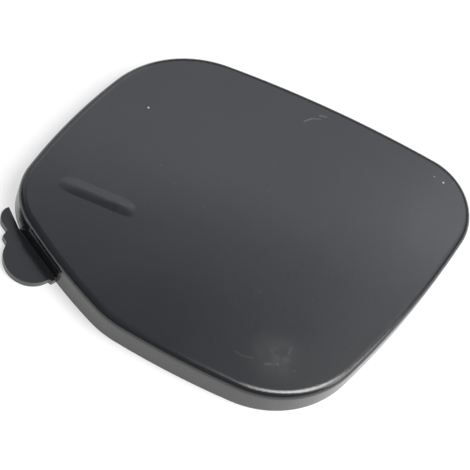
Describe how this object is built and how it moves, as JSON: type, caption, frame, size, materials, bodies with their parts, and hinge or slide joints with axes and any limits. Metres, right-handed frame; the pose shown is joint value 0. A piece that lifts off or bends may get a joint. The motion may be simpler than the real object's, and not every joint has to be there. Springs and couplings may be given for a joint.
{
  "type": "tow hook cover",
  "caption": "Shallow crowned plastic cap that closes the towing-eye opening of a car bumper: rounded plate on a skirt, with a raised press ridge and a clip tongue at a corner.",
  "frame": {"origin": "on the plane of the skirt's rim, under the middle of the cover's plan outline", "axes": "+Z out of the bumper through the crowned plate, +X along the long front and back sides, away from the corner with the clip, +Y towards the back side"},
  "size_m": [0.0841, 0.0676, 0.0078],
  "materials": {
    "cover_plastic": "satin moulded, dark charcoal, unpainted"
  },
  "bodies": {
    "root": {"tow_hook_cover": "cover_plastic"}
  },
  "joints": []
}
